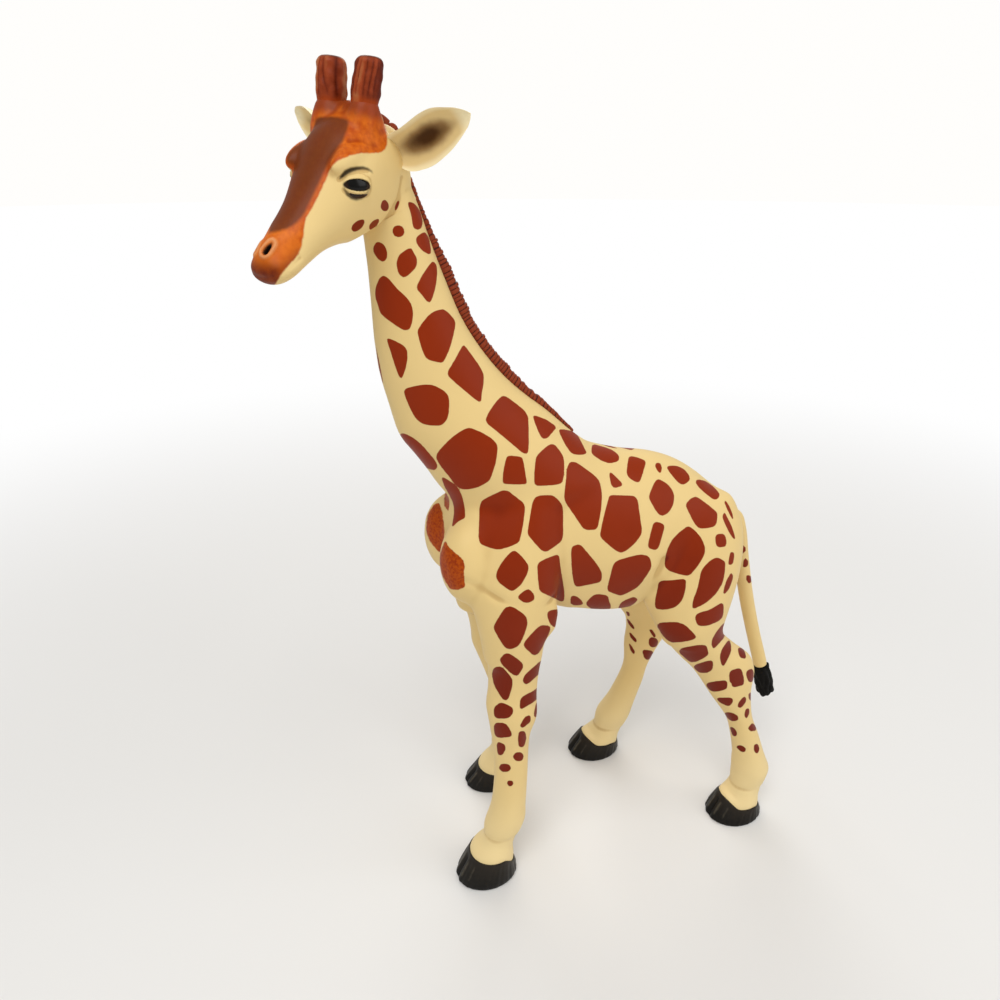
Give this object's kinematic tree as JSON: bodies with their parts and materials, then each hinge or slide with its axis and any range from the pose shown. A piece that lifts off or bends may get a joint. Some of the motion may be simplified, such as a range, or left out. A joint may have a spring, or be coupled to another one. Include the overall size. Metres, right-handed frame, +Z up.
{
  "type": "toy giraffe figure",
  "caption": "Standing toy giraffe in painted moulded plastic, with its head turned to its left, a ribbed mane, horns and a tufted tail.",
  "frame": {"origin": "on the floor plane, under the middle of the figure's outline", "axes": "+Z up, -Y towards the chest and face, +X towards the figure's own left side"},
  "size_m": [0.0414, 0.1146, 0.1591],
  "materials": {
    "cream_plastic": "satin cream plastic with crisp red-brown patches painted flat",
    "head_paint": "satin cream plastic, brushed orange-brown over the muzzle and brow with a dark band down the nose",
    "red_brown_paint": "satin red-brown paint, darker in the grooves",
    "hoof_paint": "semi-gloss charcoal paint",
    "eye_gloss": "glossy black paint",
    "tuft_paint": "matt black paint"
  },
  "bodies": {
    "root": {"trunk": "cream_plastic", "neck": "cream_plastic", "head": "head_paint", "ear_left": "cream_plastic", "ear_right": "cream_plastic", "horn_left": "red_brown_paint", "horn_right": "red_brown_paint", "eye_left": "eye_gloss", "eye_right": "eye_gloss", "mane": "red_brown_paint", "leg_fore_left": "cream_plastic", "leg_fore_right": "cream_plastic", "leg_hind_left": "cream_plastic", "leg_hind_right": "cream_plastic", "hoof_fore_left": "hoof_paint", "hoof_fore_right": "hoof_paint", "hoof_hind_left": "hoof_paint", "hoof_hind_right": "hoof_paint", "tail": "cream_plastic", "tail_tuft": "tuft_paint"}
  },
  "joints": []
}
